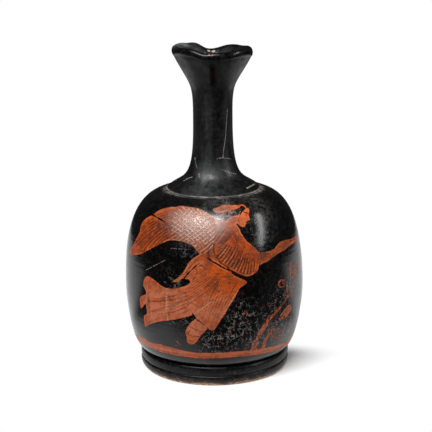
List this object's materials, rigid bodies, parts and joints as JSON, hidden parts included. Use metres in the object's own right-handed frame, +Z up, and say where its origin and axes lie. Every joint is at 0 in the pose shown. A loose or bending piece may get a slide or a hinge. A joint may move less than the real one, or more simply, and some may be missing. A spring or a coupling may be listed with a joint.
{
  "type": "squat lekythos",
  "caption": "Small oil flask of fired clay with a ring foot, round black-gloss body, slim neck, flaring wavy mouth and one strap handle.",
  "frame": {"origin": "centre of the foot's resting face", "axes": "+Z up along the axis of the vessel, painted front towards -Y, handle towards +Y, +X to the viewer's right"},
  "size_m": [0.0876, 0.0876, 0.158],
  "materials": {
    "black_gloss": "worn black gloss with reserved orange-red clay",
    "worn_gloss": "black gloss worn to brown clay at the lower edge",
    "slip": "matt fired slip"
  },
  "bodies": {
    "root": {"foot_ring": "worn_gloss", "foot_slip": "slip", "body": "black_gloss", "neck_slip": "slip", "neck": "black_gloss", "mouth_slip": "slip", "mouth": "black_gloss", "handle": "black_gloss", "handle_neck_slip": "slip", "handle_shoulder_slip": "slip"}
  },
  "joints": []
}
